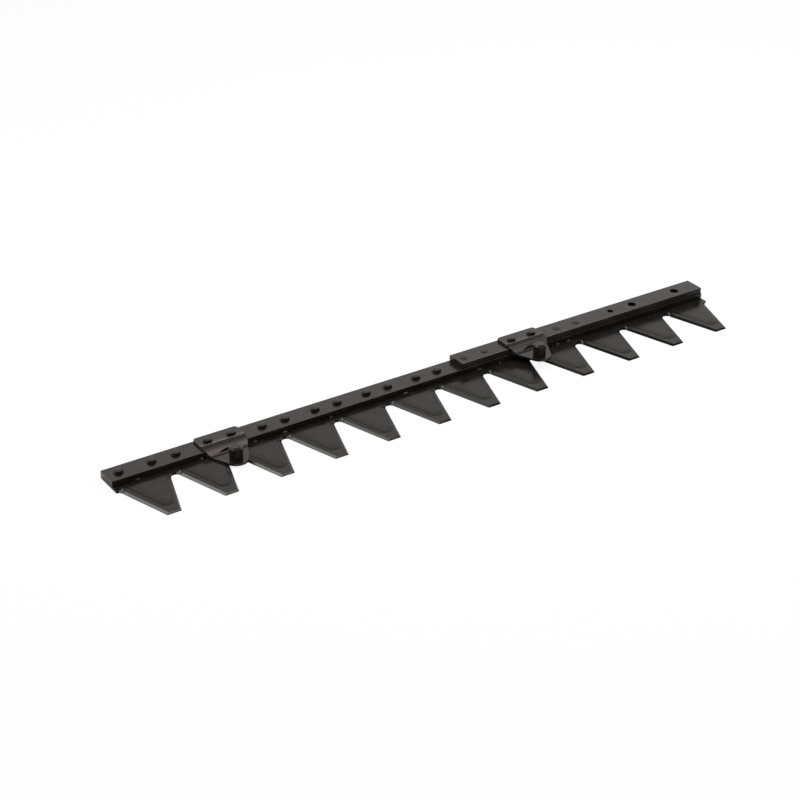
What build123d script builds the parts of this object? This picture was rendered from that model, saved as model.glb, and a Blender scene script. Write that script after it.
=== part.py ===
from build123d import *
from math import acos, atan2, cos, radians, sin, sqrt, tan
import os

# Sickle bar mower knife: a flat steel knife back with a row of triangular sections riveted under it,
# a reinforcing bar along its drive end and two guide brackets with upright pins.
# Frame: +X along the knife towards the drive end, +Y from the section tips to the knife back, +Z up.
# The origin is at the middle of the knife's length and depth, on the undersides of the sections.

# Knife sections (mm, degrees)
PITCH = 70.0  # from one section to the next
SECTION_COUNT = 12
SECTION_LENGTH = 105.5  # tip to back edge
SECTION_THICKNESS = 3.0
SECTION_GAP = 0.2  # between neighbouring sections
TIP_WIDTH = 16.8
EDGE_ANGLE = 18.1  # between a cutting edge and the section's centre line
NOTCH_RADIUS = 6.0  # round bottom of the gap between two sections
STEP_WIDTH = 0.9  # small step around the section's raised middle
STEP_DROP = 0.45
GRIND_WIDTH = 5.5  # shallow ground band along each cutting edge
GRIND_DROP = 0.9  # how much lower the band is at the edge
TIP_GRIND_LENGTH = 18.0  # shallow ground slope towards the blunt tip
TIP_GRIND_DROP = 0.7
FACET_WIDTH = 2.2  # steep ground facet at the cutting edges
FACET_DROP = 1.6
TIP_FACET_WIDTH = 0.8  # the same at the tip
TIP_FACET_DROP = 1.0

# Knife back and reinforcing bar
BACK_WIDTH = 28.0
BACK_THICKNESS = 7.0
REINFORCEMENT_LENGTH = 376.0
REINFORCEMENT_WIDTH = 26.5
REINFORCEMENT_THICKNESS = 7.0
BAR_EDGE_RADIUS = 0.7  # rolled edges along both bars

# Rivets
RIVET_SPACING = 40.0  # the two rivets of one section
RIVET_DIAMETER = 6.0
RIVET_FIT = 0.05  # radial clearance of every rivet and pin shank in its hole
HEAD_DIAMETER = 11.8
HEAD_TOP_DIAMETER = 8.8
HEAD_HEIGHT = 3.6
HEAD_RIM = 0.5  # upright rim of every head that stands proud
CROWN = 0.3  # low dome on top of those heads
COUNTERSINK_DIAMETER = 9.4
COUNTERSINK_DEPTH = 1.6

# Drive end: the last two sections have a bolt hole, and the joint before them a locating hole
BOLT_HOLE_DIAMETER = 11.0
BOLT_HOLE_COUNT = 2
LOCATING_HOLE_DIAMETER = 8.0

# Guide brackets
BRACKET_JOINTS = {"left": 2, "right": 8}  # each sits over the joint after this many sections
BRACKET_SHIFT = 1.0  # the bracket's middle is this far past the joint, towards the drive end
BRACKET_WIDTH = 56.0
BRACKET_PLATE = 3.5
BRACKET_BACK_INSET = 0.2
BRACKET_CORNER = 4.0
BRACKET_EDGE_RADIUS = 1.0
SHOULDER = 1.25  # the plan starts to taper this far behind the knife back's front face
RIDGE = 7.0  # the plate ends in a rounded step this far behind that face
RIDGE_RADIUS = 1.0
KNEE_REACH = 1.0  # the slope turns steeper this far in front of that face
KNEE_HEIGHT = 1.1  # above the bracket's seat
SLOPE_REACH = 8.25  # the slope's foot is this far in front of that face
TONGUE_THICKNESS = 2.6  # the left tongue lies on the sections
TONGUE_CLEARANCE = 0.3  # between the tongue's root and the knife back's front face
LOBE_RADIUS = 14.2  # round end of the tongue about the pin
SCOOP_RADIUS = 30.0  # shallow round recess in the front slope behind the pin
SCOOP_DEPTH = 5.0  # how far the recess reaches back from the slope's foot
SCOOP_FLOOR = 1.5  # above the tongue

# Guide pins
PIN_DIAMETER = 15.4
PIN_REACH = 22.75  # pin axis in front of the knife back
PIN_HEIGHT = 15.2  # above the tongue
PIN_CHAMFER = 2.5
PIN_SHANK_DIAMETER = 9.0
PIN_COUNTERSINK_DIAMETER = 12.0
PIN_COUNTERSINK_DEPTH = 1.2

# Places that follow from the sizes
LENGTH = SECTION_COUNT * PITCH
Y_TIP = -SECTION_LENGTH / 2
Y_BACK = SECTION_LENGTH / 2
Y_FRONT = Y_BACK - BACK_WIDTH  # front face of the knife back
Y_RIVETS = Y_BACK - BACK_WIDTH / 2
Y_PIN = Y_FRONT - PIN_REACH
Y_SHOULDER = Y_FRONT + SHOULDER
Y_RIDGE = Y_FRONT + RIDGE
Y_KNEE = Y_FRONT - KNEE_REACH
Y_SLOPE_FOOT = Y_FRONT - SLOPE_REACH
Z_BACK = SECTION_THICKNESS  # underside of the knife back
Z_BACK_TOP = Z_BACK + BACK_THICKNESS
Z_REINFORCEMENT_TOP = Z_BACK_TOP + REINFORCEMENT_THICKNESS
X_END = (LENGTH - SECTION_GAP) / 2  # both bars end flush with the outer sections
X_REINFORCEMENT = X_END - REINFORCEMENT_LENGTH
FIRST_BOLT_SECTION = SECTION_COUNT - BOLT_HOLE_COUNT
TONGUE_BOTTOM = -BACK_THICKNESS  # from the bracket's seat
TONGUE_TOP = TONGUE_BOTTOM + TONGUE_THICKNESS
HOLE_RADIUS = RIVET_DIAMETER / 2 + RIVET_FIT
MARGIN = 5.0  # cutters reach this far past what they cut


def section_x(index):
    """Centre line of a section, counted from 0 at the free end."""
    return (index - (SECTION_COUNT - 1) / 2) * PITCH


def joint_x(index):
    """Joint after that many sections from the free end."""
    return section_x(index) - PITCH / 2


def rivet_places():
    """X of every rivet, from the free end to the drive end."""
    return [section_x(i) + side * RIVET_SPACING / 2 for i in range(SECTION_COUNT) for side in (-1, 1)]


def under_bracket(x):
    """Whether a rivet at x passes through a bracket."""
    return any(abs(x - joint_x(joint)) < BRACKET_WIDTH / 2 for joint in BRACKET_JOINTS.values())


def seat_height(x):
    """Top of the bars at x, where a rivet head or a bracket sits."""
    return Z_REINFORCEMENT_TOP if x > X_REINFORCEMENT else Z_BACK_TOP


def drill(x, y, radius, low, high):
    """A round cutter from low to high."""
    return Pos(x, y, low) * Cylinder(radius, high - low, align=(Align.CENTER, Align.CENTER, Align.MIN))


def countersink(x, y, mouth_radius, neck_radius, mouth_z, neck_z):
    """A conical cutter with its wide end at mouth_z."""
    low, high = sorted((mouth_z, neck_z))
    radii = (mouth_radius, neck_radius) if mouth_z < neck_z else (neck_radius, mouth_radius)
    return Pos(x, y, low) * Cone(*radii, high - low, align=(Align.CENTER, Align.CENTER, Align.MIN))


def section_outline():
    """Plan of one section about its centre line: blunt tip, straight edges, round notches, square base."""
    angle = radians(EDGE_ANGLE)
    half_tip = TIP_WIDTH / 2
    half_base = (PITCH - SECTION_GAP) / 2
    notch_x = PITCH / 2
    notch_y = Y_TIP + (notch_x - half_tip - NOTCH_RADIUS / cos(angle)) / tan(angle)
    floor_y = notch_y + sqrt(NOTCH_RADIUS**2 - (notch_x - half_base) ** 2)
    start = (notch_x - NOTCH_RADIUS * cos(angle), notch_y + NOTCH_RADIUS * sin(angle))
    middle_angle = (radians(180) - angle + radians(90)) / 2
    middle = (notch_x + NOTCH_RADIUS * cos(middle_angle), notch_y + NOTCH_RADIUS * sin(middle_angle))
    with BuildSketch() as sketch:
        with BuildLine():
            Line((0, Y_TIP), (half_tip, Y_TIP))
            Line((half_tip, Y_TIP), start)
            ThreePointArc(start, middle, (half_base, floor_y))
            Polyline((half_base, floor_y), (half_base, Y_BACK), (0, Y_BACK))
            mirror(about=Plane.YZ)
        make_face()
    return sketch.sketch, start


def edge_cutter(edge_end):
    """Grinds the shallow band along the right-hand cutting edge, up to the notch."""
    corner = (TIP_WIDTH / 2, Y_TIP)
    along = Vector(edge_end[0] - corner[0], edge_end[1] - corner[1], 0)
    plane = Plane(origin=(*corner, SECTION_THICKNESS), x_dir=(along.Y, -along.X, 0), z_dir=-along)
    facet_top = -GRIND_DROP * (GRIND_WIDTH - FACET_WIDTH) / GRIND_WIDTH
    profile = [
        (-GRIND_WIDTH, 0),
        (STEP_WIDTH - GRIND_WIDTH, -STEP_DROP),
        (-FACET_WIDTH, facet_top),
        (0, facet_top - FACET_DROP),
        (MARGIN, facet_top - FACET_DROP),
        (MARGIN, MARGIN),
        (-GRIND_WIDTH, MARGIN),
    ]
    face = plane * make_face(Polyline(profile, close=True))
    return extrude(face, along.length, dir=along) + extrude(face, MARGIN, dir=-along)


def tip_cutter():
    """Grinds the top down towards the blunt tip."""
    fall = TIP_GRIND_DROP * (TIP_GRIND_LENGTH - TIP_FACET_WIDTH) / TIP_GRIND_LENGTH
    facet_top = SECTION_THICKNESS - fall
    profile = [
        (Y_TIP, facet_top - TIP_FACET_DROP),
        (Y_TIP + TIP_FACET_WIDTH, facet_top),
        (Y_TIP + TIP_GRIND_LENGTH - STEP_WIDTH, SECTION_THICKNESS - STEP_DROP),
        (Y_TIP + TIP_GRIND_LENGTH, SECTION_THICKNESS),
        (Y_TIP + TIP_GRIND_LENGTH, SECTION_THICKNESS + MARGIN),
        (Y_TIP, SECTION_THICKNESS + MARGIN),
    ]
    face = make_face(Plane.YZ * Polyline(profile, close=True))
    return extrude(face, PITCH / 2, dir=(1, 0, 0), both=True)


def section_blank():
    """One section with its ground bands and rivet holes, about its own centre line."""
    outline, edge_end = section_outline()
    blank = extrude(outline, SECTION_THICKNESS)
    cutter = edge_cutter(edge_end)
    blank = blank - cutter - mirror(cutter, about=Plane.YZ) - tip_cutter()
    for side in (-1, 1):
        x = side * RIVET_SPACING / 2
        blank -= drill(x, Y_RIVETS, HOLE_RADIUS, -MARGIN, SECTION_THICKNESS + MARGIN)
        blank -= countersink(x, Y_RIVETS, COUNTERSINK_DIAMETER / 2, HOLE_RADIUS, 0, COUNTERSINK_DEPTH)
    return blank


def flat_bar(x_low, x_high, y_low, y_high, z_low, thickness):
    """A rolled flat bar along X with its long edges rounded."""
    bar = Pos((x_low + x_high) / 2, (y_low + y_high) / 2, z_low) * Box(
        x_high - x_low, y_high - y_low, thickness, align=(Align.CENTER, Align.CENTER, Align.MIN)
    )
    return fillet(bar.edges().filter_by(Axis.X), BAR_EDGE_RADIUS)


def drive_holes(low, high):
    """Cutters for the locating hole and the drive head's bolt holes."""
    bolts = [section_x(i) for i in range(FIRST_BOLT_SECTION, SECTION_COUNT)]
    cutters = [drill(x, Y_RIVETS, BOLT_HOLE_DIAMETER / 2, low, high) for x in bolts]
    locating_x = joint_x(FIRST_BOLT_SECTION)
    return cutters + [drill(locating_x, Y_RIVETS, LOCATING_HOLE_DIAMETER / 2, low, high)]


def knife_back():
    """The long flat bar that carries the sections."""
    bar = flat_bar(-X_END, X_END, Y_FRONT, Y_BACK, Z_BACK, BACK_THICKNESS)
    low, high = Z_BACK - MARGIN, Z_BACK_TOP + MARGIN
    holes = [drill(x, Y_RIVETS, HOLE_RADIUS, low, high) for x in rivet_places()]
    return bar - (holes + drive_holes(low, high))


def reinforcing_bar():
    """The second bar on the knife back, countersunk for flush rivets except under the bracket."""
    y_low = Y_BACK - REINFORCEMENT_WIDTH
    bar = flat_bar(X_REINFORCEMENT, X_END, y_low, Y_BACK, Z_BACK_TOP, REINFORCEMENT_THICKNESS)
    low, high = Z_BACK_TOP - MARGIN, Z_REINFORCEMENT_TOP + MARGIN
    cutters = drive_holes(low, high)
    for x in rivet_places():
        if x < X_REINFORCEMENT:
            continue
        cutters.append(drill(x, Y_RIVETS, HOLE_RADIUS, low, high))
        if not under_bracket(x):
            neck_z = Z_REINFORCEMENT_TOP - COUNTERSINK_DEPTH
            mouth = COUNTERSINK_DIAMETER / 2
            cutters.append(countersink(x, Y_RIVETS, mouth, HOLE_RADIUS, Z_REINFORCEMENT_TOP, neck_z))
    return bar - cutters


def bracket_outline():
    """Plan of a guide bracket: plate with round back corners, tapering to a round lobe about the pin."""
    half = BRACKET_WIDTH / 2
    rise = Y_SHOULDER - Y_PIN
    end = atan2(rise, half) - acos(LOBE_RADIUS / sqrt(half**2 + rise**2))
    middle = (end - radians(90)) / 2
    tangent = (LOBE_RADIUS * cos(end), Y_PIN + LOBE_RADIUS * sin(end))
    halfway = (LOBE_RADIUS * cos(middle), Y_PIN + LOBE_RADIUS * sin(middle))
    back = Y_BACK - BRACKET_BACK_INSET
    with BuildSketch() as sketch:
        with BuildLine():
            ThreePointArc((0, Y_PIN - LOBE_RADIUS), halfway, tangent)
            Polyline(tangent, (half, Y_SHOULDER), (half, back), (0, back))
            mirror(about=Plane.YZ)
        make_face()
        corners = sketch.vertices().group_by(Axis.Y)[-1].sort_by(Axis.X)
        fillet([corners[0], corners[-1]], BRACKET_CORNER)
    return sketch.sketch


def bracket_rivet_places():
    """The two rivets of a bracket, measured from the bracket's middle."""
    return [side * (PITCH - RIVET_SPACING) / 2 - BRACKET_SHIFT for side in (-1, 1)]


def bracket_profile():
    """Side view of a bracket: plate, rounded step, front slope with a knee, and tongue."""
    root = Y_FRONT - TONGUE_CLEARANCE
    front = Y_PIN - LOBE_RADIUS - MARGIN
    back = Y_BACK + MARGIN
    step_z = BRACKET_PLATE - RIDGE_RADIUS
    ridge = (Y_RIDGE + RIDGE_RADIUS, BRACKET_PLATE)
    step = (Y_RIDGE, step_z)
    halfway = RIDGE_RADIUS * cos(radians(45))
    with BuildSketch(Plane.YZ) as sketch:
        with BuildLine():
            Polyline(step, (Y_KNEE, KNEE_HEIGHT), (Y_SLOPE_FOOT, TONGUE_TOP), (front, TONGUE_TOP))
            Polyline((front, TONGUE_TOP), (front, TONGUE_BOTTOM), (root, TONGUE_BOTTOM), (root, 0))
            Polyline((root, 0), (back, 0), (back, BRACKET_PLATE), ridge)
            ThreePointArc(ridge, (ridge[0] - halfway, step_z + halfway), step)
        make_face()
    return sketch.sketch


def guide_bracket():
    """A forged bracket about X = 0 with its seat at Z = 0: plate, scooped front slope and tongue."""
    plan = Pos(0, 0, TONGUE_BOTTOM) * bracket_outline()
    block = extrude(plan, BRACKET_PLATE - TONGUE_BOTTOM, dir=(0, 0, 1))
    block = fillet(block.edges().group_by(Axis.Z)[-1], BRACKET_EDGE_RADIUS)
    bracket = block & extrude(bracket_profile(), BRACKET_WIDTH, dir=(1, 0, 0), both=True)
    scoop_y = Y_SLOPE_FOOT + SCOOP_DEPTH - SCOOP_RADIUS
    bracket -= drill(0, scoop_y, SCOOP_RADIUS, TONGUE_TOP + SCOOP_FLOOR, BRACKET_PLATE + MARGIN)
    for x in bracket_rivet_places():
        bracket -= drill(x, Y_RIVETS, HOLE_RADIUS, -MARGIN, BRACKET_PLATE + MARGIN)
    bore = PIN_SHANK_DIAMETER / 2 + RIVET_FIT
    mouth = PIN_COUNTERSINK_DIAMETER / 2
    bracket -= drill(0, Y_PIN, bore, TONGUE_BOTTOM - MARGIN, TONGUE_TOP + MARGIN)
    neck_z = TONGUE_BOTTOM + PIN_COUNTERSINK_DEPTH
    return bracket - countersink(0, Y_PIN, mouth, bore, TONGUE_BOTTOM, neck_z)


def guide_pin():
    """A turned pin in the bracket's own frame, shouldered on the tongue and peened flush underneath."""
    top = TONGUE_TOP + PIN_HEIGHT
    radius = PIN_DIAMETER / 2
    shank = PIN_SHANK_DIAMETER / 2
    peen = PIN_COUNTERSINK_DIAMETER / 2 - RIVET_FIT
    profile = [
        (0, TONGUE_BOTTOM),
        (peen, TONGUE_BOTTOM),
        (shank, TONGUE_BOTTOM + PIN_COUNTERSINK_DEPTH),
        (shank, TONGUE_TOP),
        (radius, TONGUE_TOP),
        (radius, top - PIN_CHAMFER),
        (radius - PIN_CHAMFER, top),
        (0, top),
    ]
    face = make_face(Plane.XZ * Polyline(profile, close=True))
    return Pos(0, Y_PIN, 0) * revolve(face, Axis.Z)


def dome_middle(rim_radius, rim_z, rise):
    """A point halfway along the arc from a head's rim to its crown."""
    dome = (rim_radius**2 + rise**2) / (2 * rise)
    half_turn = atan2(rim_radius, dome - rise) / 2
    return (dome * sin(half_turn), rim_z + rise - dome * (1 - cos(half_turn)))


def rivet_foot(seat):
    """Half profile of a rivet from its countersunk foot flush under the section up to its seat."""
    shank = RIVET_DIAMETER / 2
    return [(0, 0), (COUNTERSINK_DIAMETER / 2 - RIVET_FIT, 0), (shank, COUNTERSINK_DEPTH), (shank, seat)]


def rivet(outline, rim, rise):
    """Turns a rivet from its half profile up to the rim, closed by a dome of that rise or ground flat."""
    crown = (0, rim[1] + rise)
    with BuildSketch(Plane.XZ) as sketch:
        with BuildLine():
            Polyline(*outline, rim)
            if rise > 0:
                ThreePointArc(rim, dome_middle(*rim, rise), crown)
            else:
                Line(rim, crown)
            Line(crown, outline[0])
        make_face()
    return revolve(sketch.sketch, Axis.Z)


def headed_rivet(seat):
    """A rivet with a conical, slightly domed head standing on the seat."""
    radius = HEAD_DIAMETER / 2
    outline = rivet_foot(seat) + [(radius, seat), (radius, seat + HEAD_RIM)]
    return rivet(outline, (HEAD_TOP_DIAMETER / 2, seat + HEAD_HEIGHT - CROWN), CROWN)


def sunk_rivet(seat, rise):
    """A rivet with a countersunk head in the reinforcing bar."""
    radius = COUNTERSINK_DIAMETER / 2 - RIVET_FIT
    outline = rivet_foot(seat - COUNTERSINK_DEPTH)
    if rise > 0:
        return rivet(outline + [(radius, seat)], (radius, seat + HEAD_RIM), rise)
    return rivet(outline, (radius, seat), rise)


def row_of(places, make):
    """Separate rivets at the given X places as one group; make gets the height of the bars' top there."""
    return Compound(children=[(Pos(x, Y_RIVETS, 0) * make(seat_height(x))).solid() for x in places])


def all_parts():
    """Every node by name."""
    parts = {"knife_back": knife_back(), "reinforcing_bar": reinforcing_bar()}
    blank = section_blank()
    low, high = -MARGIN, SECTION_THICKNESS + MARGIN
    for index in range(SECTION_COUNT):
        section = Pos(section_x(index), 0, 0) * blank
        parts[f"knife_section_{index + 1:02d}"] = section - drive_holes(low, high)
    for name, joint in BRACKET_JOINTS.items():
        place = Pos(joint_x(joint) + BRACKET_SHIFT, 0, seat_height(joint_x(joint)))
        parts[f"guide_bracket_{name}"] = place * guide_bracket()
        parts[f"guide_pin_{name}"] = place * guide_pin()
    held = [x for x in rivet_places() if under_bracket(x)]
    free = [x for x in rivet_places() if not under_bracket(x)]
    drive_x = joint_x(FIRST_BOLT_SECTION) - PITCH / 2
    parts["bracket_rivets"] = row_of(held, lambda seat: headed_rivet(seat + BRACKET_PLATE))
    parts["section_rivets"] = row_of([x for x in free if x < X_REINFORCEMENT], headed_rivet)
    proud = [x for x in free if X_REINFORCEMENT < x < drive_x]
    parts["reinforcement_rivets"] = row_of(proud, lambda seat: sunk_rivet(seat, CROWN))
    ground = [x for x in free if x > drive_x]
    parts["drive_seat_rivets"] = row_of(ground, lambda seat: sunk_rivet(seat, 0))
    return parts


os.makedirs("parts", exist_ok=True)
for node, shape in all_parts().items():
    export_step(shape, f"parts/{node}.step")
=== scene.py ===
"""Looks of the sickle bar mower knife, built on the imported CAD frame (metres, +Z up)."""

import math

import bmesh
import bpy
from mathutils import Matrix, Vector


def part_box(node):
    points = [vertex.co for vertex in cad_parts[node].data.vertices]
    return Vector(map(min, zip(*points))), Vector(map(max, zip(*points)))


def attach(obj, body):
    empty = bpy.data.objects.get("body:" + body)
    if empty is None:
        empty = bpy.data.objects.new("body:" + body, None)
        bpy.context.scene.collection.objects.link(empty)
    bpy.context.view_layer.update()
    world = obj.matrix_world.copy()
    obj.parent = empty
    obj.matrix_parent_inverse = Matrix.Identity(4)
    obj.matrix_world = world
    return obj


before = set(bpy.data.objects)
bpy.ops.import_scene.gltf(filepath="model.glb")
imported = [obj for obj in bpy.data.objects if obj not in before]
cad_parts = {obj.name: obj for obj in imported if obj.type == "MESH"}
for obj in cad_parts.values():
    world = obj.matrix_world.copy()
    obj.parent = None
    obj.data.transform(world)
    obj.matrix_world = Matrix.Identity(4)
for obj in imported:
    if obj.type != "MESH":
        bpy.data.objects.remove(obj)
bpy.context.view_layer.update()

# Camera: a long lens looking down on the knife from its free end, angles in degrees
CAMERA_PLACE = (-1.1472, -1.6210, 1.1227)
CAMERA_HEADING = 33.78  # to the right of +Y
CAMERA_DIP = 29.64  # below level
CAMERA_ROLL = 0.40
CAMERA_LENS = 87.15
SENSOR_WIDTH = 36.0
LEVEL_TILT = 90.0  # the tilt at which a camera looks level

# Light and stage: lamps overhead, a bright room behind the knife and a dim one in front of it
WHITE = (1.0, 1.0, 1.0, 1.0)
WORLD_FILL = 0.55
DIM_ROOM = 0.14  # what glossy paint mirrors from the front of the room
DIM_FROM = -0.5  # share of +Y in a direction: the room is dim up to here
DIM_TO = 0.0  # and bright from here on
SOFT_BOX_PLACE = (0.45, 0.0, 1.6)
SOFT_BOX_SIZE = (1.4, 1.4)
SOFT_BOX_POWER = 11.0
STRIP_PLACE = (0.95, 0.62, 1.5)
STRIP_SIZE = (1.3, 0.10)
STRIP_POWER = 3.0
PANEL_PLACE = (-1.35, 0.85, 1.6)
PANEL_SIZE = (0.7, 0.7)
PANEL_POWER = 8.0
FLOOR_SIZE = 14.0
FLOOR_WHITE = (0.93, 0.93, 0.93, 1.0)
FLOOR_GLOW = 1.02
FLOOR_SHADOW_SHARE = 0.14

# Linear colours, each kind from a dark to a light tone
PAINT_DARK = (0.0088, 0.0076, 0.0068, 1.0)
PAINT_LIGHT = (0.0165, 0.0140, 0.0124, 1.0)
PAINT_SHEEN = (1.0, 0.82, 0.78, 1.0)
THIN_DARK = (0.0120, 0.0106, 0.0096, 1.0)
THIN_LIGHT = (0.0240, 0.0210, 0.0190, 1.0)
# painted shade: tones of the dark coats on steps, borders, creases and the flanks of pins and rivets
SHADE_DARK = (0.0035, 0.0032, 0.0030, 1.0)
SHADE_LIGHT = (0.0080, 0.0072, 0.0066, 1.0)
# tones of the seam beads, lighter than the paint as painted highlight
BEAD_GLINT_DARK = (0.030, 0.029, 0.028, 1.0)
BEAD_GLINT_LIGHT = (0.085, 0.082, 0.079, 1.0)
STEEL_DARK = (0.055, 0.053, 0.051, 1.0)
STEEL_LIGHT = (0.105, 0.102, 0.099, 1.0)
# tones of the rubbed edges and the brackets' ridge bands: wear and painted highlight
WEAR_AND_HIGHLIGHT_DARK = (0.13, 0.124, 0.118, 1.0)
WEAR_AND_HIGHLIGHT_LIGHT = (0.21, 0.202, 0.194, 1.0)
# tones of the painted highlights on the sections
GLINT_DARK = (0.12, 0.117, 0.114, 1.0)
GLINT_LIGHT = (0.26, 0.255, 0.25, 1.0)

# Texture: a cloudy tone, fine grain and slight runs in the paint, scratches in the coats
NOISE_LOW = 0.3  # noise from here
NOISE_HIGH = 0.7  # to here is stretched over the full range
CLOUD_SCALE = 60.0
CLOUD_DETAIL = 6.0
CLOUD_ROUGHNESS = 0.65
GRAIN_SCALE = 1400.0
GRAIN_SHARE = 0.15  # height of the grain against that of the runs
RUN_SCALE = 90.0
SKIN_DETAIL = 2.0
SKIN_ROUGHNESS = 0.55
SKIN_STRENGTH = 0.25
SKIN_DEPTH = 0.0006
GLOSS_LESS = 0.04  # a paint's roughness varies from this much below its gloss value
GLOSS_MORE = 0.06  # to this much above it
SCRATCH_DETAIL = 5.0
SCRATCH_ROUGHNESS = 0.7

# Paints
BAR_PAINT = {"gloss": 0.20, "ior": 1.41}
BRACKET_PAINT = {"gloss": 0.18, "ior": 1.43}
SECTION_PAINT = {"gloss": 0.20, "ior": 1.31}
PIN_PAINT = {"gloss": 0.20, "ior": 1.45}
RIVET_PAINT = {"gloss": 0.24, "ior": 1.38}
SUNK_RIVET_PAINT = {"gloss": 0.34, "ior": 1.32}
# beads toned lighter than the paint: painted highlight
BEAD_PAINT = {"gloss": 0.22, "ior": 1.45, "dark": BEAD_GLINT_DARK, "light": BEAD_GLINT_LIGHT}

# Coats over the paint: scale of the scratches, tones, and roughness from smooth to rough
THIN_COAT = {
    "scale": 250.0, "dark": THIN_DARK, "light": THIN_LIGHT, "smooth": 0.17, "rough": 0.25,
    "IOR": 1.32, "Specular_Tint": PAINT_SHEEN,
}
# painted light: a lighter, duller coat on the reinforcing bar's front face
PAINTED_LIGHT_FRONT = {
    "scale": 300.0, "dark": THIN_DARK, "light": THIN_LIGHT, "smooth": 0.35, "rough": 0.50, "IOR": 1.25,
}
# painted shade on the flank of the pins
FLANK_SHADE = {
    "scale": 400.0, "dark": SHADE_DARK, "light": PAINT_LIGHT, "smooth": 0.32, "rough": 0.48, "IOR": 1.2,
}
# painted shade on the step around a section's raised middle
STEP_SHADE = {
    "scale": 500.0, "dark": SHADE_DARK, "light": SHADE_LIGHT, "smooth": 0.35, "rough": 0.55, "IOR": 1.32,
}
# painted shade on the sections' borders, cutting edge and tip faces, and on the front flanks of rivet heads
DEEP_SHADE = {
    "scale": 500.0, "dark": SHADE_DARK, "light": SHADE_LIGHT, "smooth": 0.40, "rough": 0.60, "IOR": 1.12,
}
# painted shade in the brackets' dip and at the foot of their slope
CREASE_SHADE = {
    "scale": 300.0, "dark": SHADE_DARK, "light": SHADE_LIGHT, "smooth": 0.35, "rough": 0.55, "IOR": 1.16,
}
GROUND_STEEL = {
    "scale": 700.0, "dark": STEEL_DARK, "light": STEEL_LIGHT, "smooth": 0.28, "rough": 0.45, "Metallic": 1.0,
}
# rubbed steel on the rounded edges, partly wear and partly painted highlight, and painted highlight on the
# brackets' ridge and slope
WEAR_AND_HIGHLIGHT_STEEL = {
    "scale": 160.0, "dark": WEAR_AND_HIGHLIGHT_DARK, "light": WEAR_AND_HIGHLIGHT_LIGHT, "smooth": 0.30, "rough": 0.42, "Metallic": 1.0,
}
# painted highlight on the sections' run-out streaks and tip facets
PAINTED_GLINT = {
    "scale": 600.0, "dark": GLINT_DARK, "light": GLINT_LIGHT, "smooth": 0.40, "rough": 0.55,
}

# Faces told apart by where they look: shares of their direction
BAND_FACING = 0.008  # sideways or forward, from here on: a section's ground bands
STEP_FACING = 0.3  # the same for the step around a section's raised middle
EDGE_FACING = 0.5  # the same for a section's ground cutting edges and tip
TIP_FACING = 0.6  # forward, from here: the ground facet of a section's tip
UPRIGHT_FACING = 0.9  # to here, where the tip's upright face begins
FRONT_FACING = 0.7  # forward, from here on: the reinforcing bar's front
ROUND_LOW = 0.815  # up, from here: the rounded top edges, with wear and a painted highlight
ROUND_HIGH = 0.975  # to here
FLANK_FACING = 0.3  # up or down, less than this: the flank of a pin
STEEP_FACING = 0.75  # up, less than this: the flank of a rivet head
HEAD_FACING = 0.3  # forward, where that flank gets its full share of painted shade
FLANK_SHARE = 0.60

# Brackets: strips of painted highlight and painted shade, placed behind (+) or in front of (-) the knife
# back's front
RIDGE_PLACE = 0.0090  # the ridge, painted highlight
RIDGE_REACH = 0.0042
RIDGE_SHARE = 0.34
DIP_PLACE = 0.0044  # the dip in front of the ridge, painted shade
DIP_REACH = 0.0038
DIP_SHARE = 0.90
SLOPE_PLACE = -0.0040  # the steep part of the slope, painted highlight
SLOPE_REACH = 0.0032
SLOPE_SHARE = 0.30
FOOT_PLACE = -0.0084  # the corner at the foot of the slope, painted shade
FOOT_REACH = 0.0020
FOOT_SHARE = 0.95

# Sections: painted shade along the soft border of the raised middle, measured from the left edge and the tip
TIP_HALF = 0.0084  # half a section's width at its tip
EDGE_SPREAD = 0.327  # how fast that half grows towards the knife back
BORDER_INSET = 0.0092
BORDER_TIP = 0.0148
BORDER_ROUND = 0.006
BORDER_WIDTH = 0.0024
BORDER_SHARE = 0.78
MIDDLE_REACH = 0.013  # how far inside the border the shade dies out
MIDDLE_SHARE = 0.26
BORDER_END = 0.0045  # from the right edge: no border up to here
BORDER_FULL = 0.0095  # and all of it from here on

# Sections: bare cutting edges, fading along the knife into painted shade towards the drive end, and painted
# highlights on the tips (places along the knife)
BARE_FROM = -0.30
BARE_MIDDLE = 0.0
BARE_TO = 0.20
BARE_SHARE = 0.62  # share of bare steel left on the edges at the middle
TIP_SHARE = 0.80  # share of painted highlight on the facets of the first tips, none from the middle on

# Sections: the painted highlight of a leaning streak where each cutting edge runs out
STREAK_PLACE = 0.0060  # past the joint
STREAK_MIDDLE = 0.0653  # behind the tip
STREAK_REACH = 0.0058
STREAK_LEAN = 0.39
STREAK_WIDTH = 0.0016

# Beads of paint: place along the knife back as a share of its length, and length in metres
BEADS = (
    (0.036, 0.0060), (0.131, 0.0040), (0.212, 0.0050), (0.258, 0.0065),
    (0.331, 0.0035), (0.454, 0.0065), (0.581, 0.0070), (0.618, 0.0035),
    (0.7226, 0.0040), (0.7417, 0.0050),
)
BEAD_WIDTH = 0.0032
BEAD_HEIGHT = 0.0026
BALL_RADIUS = 0.5  # a ball one unit across, stretched to a bead's measures
BALL_SUBDIVISIONS = 4
SWELL_SIZE = 0.22  # a long wave in a bead's thickness
SWELL_WAVES = 5.0
SWELL_SHIFT = 2.1
RIPPLE_SIZE = 0.10  # and a shorter one
RIPPLE_WAVES = 9.0


def node_of(tree, kind, **sockets):
    """A shader node with its sockets set by name."""
    node = tree.nodes.new(kind)
    for name, value in sockets.items():
        node.inputs[name.replace("_", " ")].default_value = value
    return node


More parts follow.
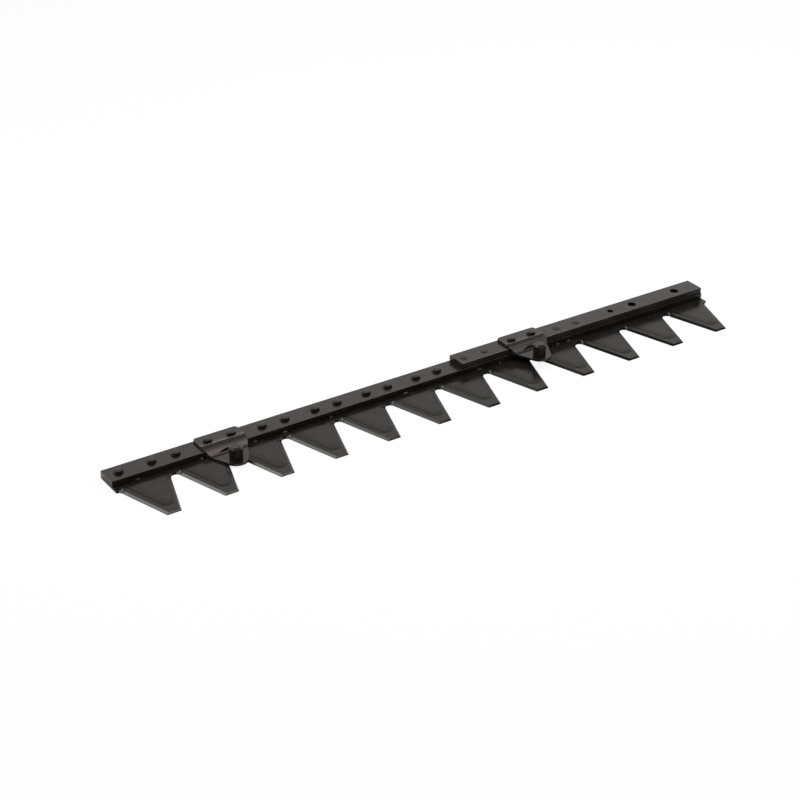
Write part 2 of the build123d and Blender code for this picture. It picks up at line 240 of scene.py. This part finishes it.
def math_node(tree, operation, first, second=0.0, third=0.0, clamp=False):
    """One step of arithmetic on sockets or numbers."""
    node = tree.nodes.new("ShaderNodeMath")
    node.operation = operation
    node.use_clamp = clamp
    for socket, value in zip(node.inputs, (first, second, third)):
        if isinstance(value, (int, float)):
            socket.default_value = value
        else:
            tree.links.new(value, socket)
    return node.outputs[0]


def added(tree, first, second):
    """The sum of two values."""
    return math_node(tree, "ADD", first, second)


def less(tree, first, second):
    """The first value less the second."""
    return math_node(tree, "SUBTRACT", first, second)


def times(tree, first, second):
    """The product of two values."""
    return math_node(tree, "MULTIPLY", first, second)


def larger(tree, first, second):
    """The larger of two values."""
    return math_node(tree, "MAXIMUM", first, second)


def over(tree, value, limit):
    """1 where the value is over the limit, else 0."""
    return math_node(tree, "GREATER_THAN", value, limit)


def under(tree, value, limit):
    """1 where the value is under the limit, else 0."""
    return math_node(tree, "LESS_THAN", value, limit)


def mapped(tree, value, low, high, start=NOISE_LOW, end=NOISE_HIGH):
    """A socket stretched from start..end to low..high."""
    node = node_of(tree, "ShaderNodeMapRange", From_Min=start, From_Max=end, To_Min=low, To_Max=high)
    tree.links.new(value, node.inputs["Value"])
    return node.outputs["Result"]


def tent(tree, value, middle, reach):
    """1 at the middle, falling to 0 at the reach on either side."""
    away = math_node(tree, "ABSOLUTE", less(tree, value, middle))
    return mapped(tree, away, 1.0, 0.0, 0.0, reach)


def split(tree, vector):
    """The three components of a vector."""
    node = tree.nodes.new("ShaderNodeSeparateXYZ")
    tree.links.new(vector, node.inputs[0])
    return node.outputs["X"], node.outputs["Y"], node.outputs["Z"]


def own_space(tree):
    """Coordinates in the object's own space."""
    return tree.nodes.new("ShaderNodeTexCoord").outputs["Object"]


def place(tree):
    """Where a point lies along and across the knife."""
    return split(tree, own_space(tree))[:2]


def facing(tree):
    """The directions in which a face looks: sideways either way, forward and up."""
    right, back, up = split(tree, tree.nodes.new("ShaderNodeNewGeometry").outputs["True Normal"])
    return math_node(tree, "ABSOLUTE", right), times(tree, back, -1.0), up


def noise(tree, scale, detail, roughness):
    """Noise in the object's own space."""
    node = node_of(tree, "ShaderNodeTexNoise", Scale=scale, Detail=detail, Roughness=roughness)
    tree.links.new(own_space(tree), node.inputs["Vector"])
    return node.outputs["Fac"]


def blended(tree, share, first, second):
    """A colour between two fixed ones."""
    node = tree.nodes.new("ShaderNodeMix")
    node.data_type = "RGBA"
    colours = [socket for socket in node.inputs if socket.type == "RGBA"]
    colours[0].default_value = first
    colours[1].default_value = second
    tree.links.new(share, node.inputs["Factor"])
    return next(socket for socket in node.outputs if socket.type == "RGBA")


def mixed(tree, share, below, top, surface):
    """Shows one shader on a surface, and another in its place where share is 1."""
    mix = tree.nodes.new("ShaderNodeMixShader")
    tree.links.new(share, mix.inputs["Fac"])
    tree.links.new(below, mix.inputs[1])
    tree.links.new(top, mix.inputs[2])
    tree.links.new(mix.outputs[0], surface)


def add_camera():
    """The photograph's camera."""
    camera = bpy.data.objects.new("camera", bpy.data.cameras.new("camera"))
    camera.data.sensor_width = SENSOR_WIDTH
    camera.data.lens = CAMERA_LENS
    turn = Matrix.Rotation(math.radians(-CAMERA_HEADING), 4, "Z")
    dip = Matrix.Rotation(math.radians(LEVEL_TILT - CAMERA_DIP), 4, "X")
    roll = Matrix.Rotation(math.radians(CAMERA_ROLL), 4, "Z")
    camera.matrix_world = Matrix.Translation(CAMERA_PLACE) @ turn @ dip @ roll
    bpy.context.collection.objects.link(camera)
    bpy.context.scene.camera = camera


def set_world():
    """White to the camera, a bright room behind and a dim one in front in mirrors, a plain fill as light."""
    world = bpy.data.worlds.new("studio")
    world.use_nodes = True
    tree = world.node_tree
    background = tree.nodes["Background"]
    background.inputs["Color"].default_value = WHITE
    path = tree.nodes.new("ShaderNodeLightPath").outputs
    back = split(tree, tree.nodes.new("ShaderNodeTexCoord").outputs["Generated"])[1]
    room = mapped(tree, back, DIM_ROOM, 1.0, DIM_FROM, DIM_TO)
    seen = math_node(tree, "ADD", path["Is Camera Ray"], path["Is Transmission Ray"], clamp=True)
    lit = added(tree, WORLD_FILL, times(tree, seen, 1.0 - WORLD_FILL))
    mirrored = times(tree, path["Is Glossy Ray"], less(tree, room, WORLD_FILL))
    tree.links.new(added(tree, lit, mirrored), background.inputs["Strength"])
    bpy.context.scene.world = world


def add_lamp(name, spot, size, power):
    """A soft lamp overhead that shines straight down."""
    lamp = bpy.data.lights.new(name, "AREA")
    lamp.shape = "RECTANGLE"
    lamp.energy = power
    lamp.size, lamp.size_y = size
    holder = bpy.data.objects.new(name, lamp)
    holder.location = spot
    bpy.context.collection.objects.link(holder)


def add_floor():
    """A white floor that keeps a faint shadow."""
    bpy.ops.mesh.primitive_plane_add(size=FLOOR_SIZE, location=(0, 0, 0))
    floor = bpy.context.object
    floor.name = "floor"
    material = bpy.data.materials.new("floor")
    material.use_nodes = True
    tree = material.node_tree
    tree.nodes.clear()
    output = tree.nodes.new("ShaderNodeOutputMaterial")
    matte = node_of(tree, "ShaderNodeBsdfDiffuse", Color=FLOOR_WHITE)
    glow = node_of(tree, "ShaderNodeEmission", Strength=FLOOR_GLOW)
    path = tree.nodes.new("ShaderNodeLightPath").outputs
    share = times(tree, path["Is Camera Ray"], 1.0 - FLOOR_SHADOW_SHARE)
    mixed(tree, share, matte.outputs[0], glow.outputs[0], output.inputs["Surface"])
    floor.data.materials.append(material)


def black_paint(name, gloss, ior, dark=PAINT_DARK, light=PAINT_LIGHT):
    """Dipped paint: cloudy tone, uneven gloss, fine grain and slight runs."""
    material = bpy.data.materials.new(name)
    material.use_nodes = True
    tree = material.node_tree
    paint = tree.nodes["Principled BSDF"]
    paint.inputs["Specular Tint"].default_value = PAINT_SHEEN
    paint.inputs["IOR"].default_value = ior
    cloud = noise(tree, CLOUD_SCALE, CLOUD_DETAIL, CLOUD_ROUGHNESS)
    grain = noise(tree, GRAIN_SCALE, SKIN_DETAIL, SKIN_ROUGHNESS)
    runs = noise(tree, RUN_SCALE, SKIN_DETAIL, SKIN_ROUGHNESS)
    skin = node_of(tree, "ShaderNodeBump", Strength=SKIN_STRENGTH, Distance=SKIN_DEPTH)
    tree.links.new(added(tree, times(tree, grain, GRAIN_SHARE), runs), skin.inputs["Height"])
    tree.links.new(skin.outputs["Normal"], paint.inputs["Normal"])
    tone = blended(tree, mapped(tree, cloud, 0.0, 1.0), dark, light)
    tree.links.new(tone, paint.inputs["Base Color"])
    roughness = mapped(tree, cloud, gloss - GLOSS_LESS, gloss + GLOSS_MORE)
    tree.links.new(roughness, paint.inputs["Roughness"])
    return material


def scratched(tree, scale, dark, light, smooth, rough, **sockets):
    """A shader whose tone and roughness follow a fine scratchy noise."""
    shader = node_of(tree, "ShaderNodeBsdfPrincipled", **sockets)
    scratches = noise(tree, scale, SCRATCH_DETAIL, SCRATCH_ROUGHNESS)
    tone = blended(tree, mapped(tree, scratches, 0.0, 1.0), dark, light)
    tree.links.new(tone, shader.inputs["Base Color"])
    tree.links.new(mapped(tree, scratches, smooth, rough), shader.inputs["Roughness"])
    return shader


def lay_coat(tree, share, coat):
    """Shows a coat in place of what the material has so far where share is 1."""
    surface = tree.nodes["Material Output"].inputs["Surface"]
    below = surface.links[0].from_socket
    mixed(tree, share, below, scratched(tree, **coat).outputs[0], surface)


def section_place(tree):
    """Where a point lies on its section: past the joint on its left, and behind its tip."""
    along, across = place(tree)
    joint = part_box("knife_section_02")[0][0]
    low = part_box("knife_section_01")[0]
    past = math_node(tree, "FLOORED_MODULO", less(tree, along, joint), joint - low[0])
    return past, less(tree, across, low[1])


def border_shade(tree):
    """Share of the soft shade along the border of a section's raised middle and just inside it."""
    past, behind = section_place(tree)
    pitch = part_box("knife_section_02")[0][0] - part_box("knife_section_01")[0][0]
    half = added(tree, times(tree, behind, EDGE_SPREAD), TIP_HALF)
    beside = less(tree, past, pitch / 2)
    from_left = less(tree, added(tree, half, beside), BORDER_INSET)
    from_tip = less(tree, behind, BORDER_TIP)
    inside = math_node(tree, "SMOOTH_MIN", from_left, from_tip, BORDER_ROUND)
    line = times(tree, tent(tree, inside, 0.0, BORDER_WIDTH), BORDER_SHARE)
    soft = mapped(tree, inside, MIDDLE_SHARE, 0.0, 0.0, MIDDLE_REACH)
    soft = times(tree, soft, over(tree, inside, 0.0))
    from_right = less(tree, half, beside)
    fade = mapped(tree, from_right, 0.0, 1.0, BORDER_END, BORDER_FULL)
    return times(tree, larger(tree, line, soft), fade)


def run_out(tree):
    """Share of the painted highlight, a leaning streak at the start of each section's cutting edge."""
    past, behind = section_place(tree)
    lean = times(tree, less(tree, behind, STREAK_MIDDLE), STREAK_LEAN)
    width = tent(tree, less(tree, past, lean), STREAK_PLACE, STREAK_WIDTH)
    return times(tree, width, tent(tree, behind, STREAK_MIDDLE, STREAK_REACH))


def section_paint():
    """Paint of the sections: thin on the ground bands, painted shade in step, border, edge and tip faces,
    bare steel on the edges, painted highlights on tip facets and run-out streaks.
    """
    material = black_paint("section_paint", **SECTION_PAINT)
    tree = material.node_tree
    sideways, forward = facing(tree)[:2]
    turned = larger(tree, sideways, forward)
    along = place(tree)[0]
    lay_coat(tree, over(tree, turned, BAND_FACING), THIN_COAT)
    lay_coat(tree, over(tree, turned, STEP_FACING), STEP_SHADE)
    lay_coat(tree, larger(tree, border_shade(tree), over(tree, turned, EDGE_FACING)), DEEP_SHADE)
    # bare steel on the cutting edges fades along the knife, leaving painted shade towards the drive end
    bare = mapped(tree, along, 1.0, BARE_SHARE, BARE_FROM, BARE_MIDDLE)
    bare = times(tree, bare, mapped(tree, along, 1.0, 0.0, BARE_MIDDLE, BARE_TO))
    lay_coat(tree, times(tree, over(tree, sideways, EDGE_FACING), bare), GROUND_STEEL)
    # painted highlight on the ground facet of the first tips, fading along the knife
    tip = times(tree, over(tree, forward, TIP_FACING), under(tree, forward, UPRIGHT_FACING))
    tip = times(tree, tip, mapped(tree, along, TIP_SHARE, 0.0, BARE_FROM, BARE_MIDDLE))
    lay_coat(tree, larger(tree, run_out(tree), tip), PAINTED_GLINT)
    return material


def worn_and_highlit_paint(name, paint):
    """Paint rubbed thin along the rounded top edges, partly wear and partly a painted highlight."""
    material = black_paint(name, **paint)
    tree = material.node_tree
    up = facing(tree)[2]
    lay_coat(tree, times(tree, over(tree, up, ROUND_LOW), under(tree, up, ROUND_HIGH)), WEAR_AND_HIGHLIGHT_STEEL)
    return material


def bracket_paint():
    """Paint of the brackets: painted highlights on the ridge and the slope, painted shade in the dip and at
    the slope's foot.
    """
    material = worn_and_highlit_paint("bracket_paint", BRACKET_PAINT)
    tree = material.node_tree
    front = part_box("knife_back")[0][1]
    across = place(tree)[1]
    ridge = times(tree, tent(tree, across, front + RIDGE_PLACE, RIDGE_REACH), RIDGE_SHARE)
    slope = times(tree, tent(tree, across, front + SLOPE_PLACE, SLOPE_REACH), SLOPE_SHARE)
    lay_coat(tree, larger(tree, ridge, slope), WEAR_AND_HIGHLIGHT_STEEL)
    dip = times(tree, tent(tree, across, front + DIP_PLACE, DIP_REACH), DIP_SHARE)
    foot = times(tree, tent(tree, across, front + FOOT_PLACE, FOOT_REACH), FOOT_SHARE)
    lay_coat(tree, larger(tree, dip, foot), CREASE_SHADE)
    return material


def reinforcement_paint():
    """Paint of the reinforcing bar: rubbed edges with a painted highlight, and a front painted lighter and
    duller.
    """
    material = worn_and_highlit_paint("reinforcement_paint", BAR_PAINT)
    tree = material.node_tree
    forward = facing(tree)[1]
    # painted light on the front face
    lay_coat(tree, over(tree, forward, FRONT_FACING), PAINTED_LIGHT_FRONT)
    return material


def pin_paint():
    """Paint of the guide pins, with painted shade around the flank."""
    material = black_paint("pin_paint", **PIN_PAINT)
    tree = material.node_tree
    tilt = math_node(tree, "ABSOLUTE", facing(tree)[2])
    lay_coat(tree, under(tree, tilt, FLANK_FACING), FLANK_SHADE)
    return material


def rivet_paint():
    """Paint of the raised rivets, with painted shade on the front of the heads' flanks."""
    material = black_paint("rivet_paint", **RIVET_PAINT)
    tree = material.node_tree
    forward, up = facing(tree)[1:]
    front = mapped(tree, forward, 0.0, FLANK_SHARE, 0.0, HEAD_FACING)
    # painted shade on the front of the rivet heads
    lay_coat(tree, times(tree, under(tree, up, STEEP_FACING), front), DEEP_SHADE)
    return material


def dress(nodes):
    """Gives every CAD node its paint."""
    rivet = rivet_paint()
    paints = {
        "knife_back": black_paint("bar_paint", **BAR_PAINT),
        "reinforcing_bar": reinforcement_paint(),
        "knife_section": section_paint(),
        "guide_bracket": bracket_paint(),
        "guide_pin": pin_paint(),
        "reinforcement_rivets": black_paint("sunk_rivet_paint", **SUNK_RIVET_PAINT),
    }
    for name, node in nodes.items():
        kind = next((start for start in paints if name.startswith(start)), None)
        node.data.materials.clear()
        node.data.materials.append(paints.get(kind, rivet))


def bead_shape(name, number, length, middle):
    """The mesh of one uneven bead that lies along the knife."""
    shape = bmesh.new()
    bmesh.ops.create_icosphere(shape, subdivisions=BALL_SUBDIVISIONS, radius=BALL_RADIUS)
    for vertex in shape.verts:
        x, y, z = vertex.co
        swell = SWELL_SIZE * math.sin(SWELL_WAVES * x + SWELL_SHIFT * number)
        ripple = RIPPLE_SIZE * math.sin(RIPPLE_WAVES * x - y + number)
        thickness = 1.0 + swell + ripple
        vertex.co = (x * length, y * BEAD_WIDTH * thickness, z * BEAD_HEIGHT * thickness)
    bmesh.ops.translate(shape, verts=shape.verts, vec=middle)
    for face in shape.faces:
        face.smooth = True
    mesh = bpy.data.meshes.new(name)
    shape.to_mesh(mesh)
    shape.free()
    return mesh


def seam_beads():
    """Small beads of paint that dried in the seam between the knife back and the sections, toned lighter
    than the paint as painted highlights.
    """
    paint = black_paint("bead_paint", **BEAD_PAINT)
    low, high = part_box("knife_back")
    for number, (share, length) in enumerate(BEADS):
        name = f"seam_bead_{number + 1}"
        along = low[0] + share * (high[0] - low[0])
        mesh = bead_shape(name, number, length, (along, low[1], low[2]))
        mesh.materials.append(paint)
        bead = bpy.data.objects.new(name, mesh)
        bpy.context.collection.objects.link(bead)
        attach(bead, "root")


add_camera()
set_world()
add_lamp("soft_box", SOFT_BOX_PLACE, SOFT_BOX_SIZE, SOFT_BOX_POWER)
add_lamp("strip", STRIP_PLACE, STRIP_SIZE, STRIP_POWER)
add_lamp("panel", PANEL_PLACE, PANEL_SIZE, PANEL_POWER)
add_floor()
dress(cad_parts)
seam_beads()

scene = bpy.context.scene
scene.view_settings.view_transform = "Standard"
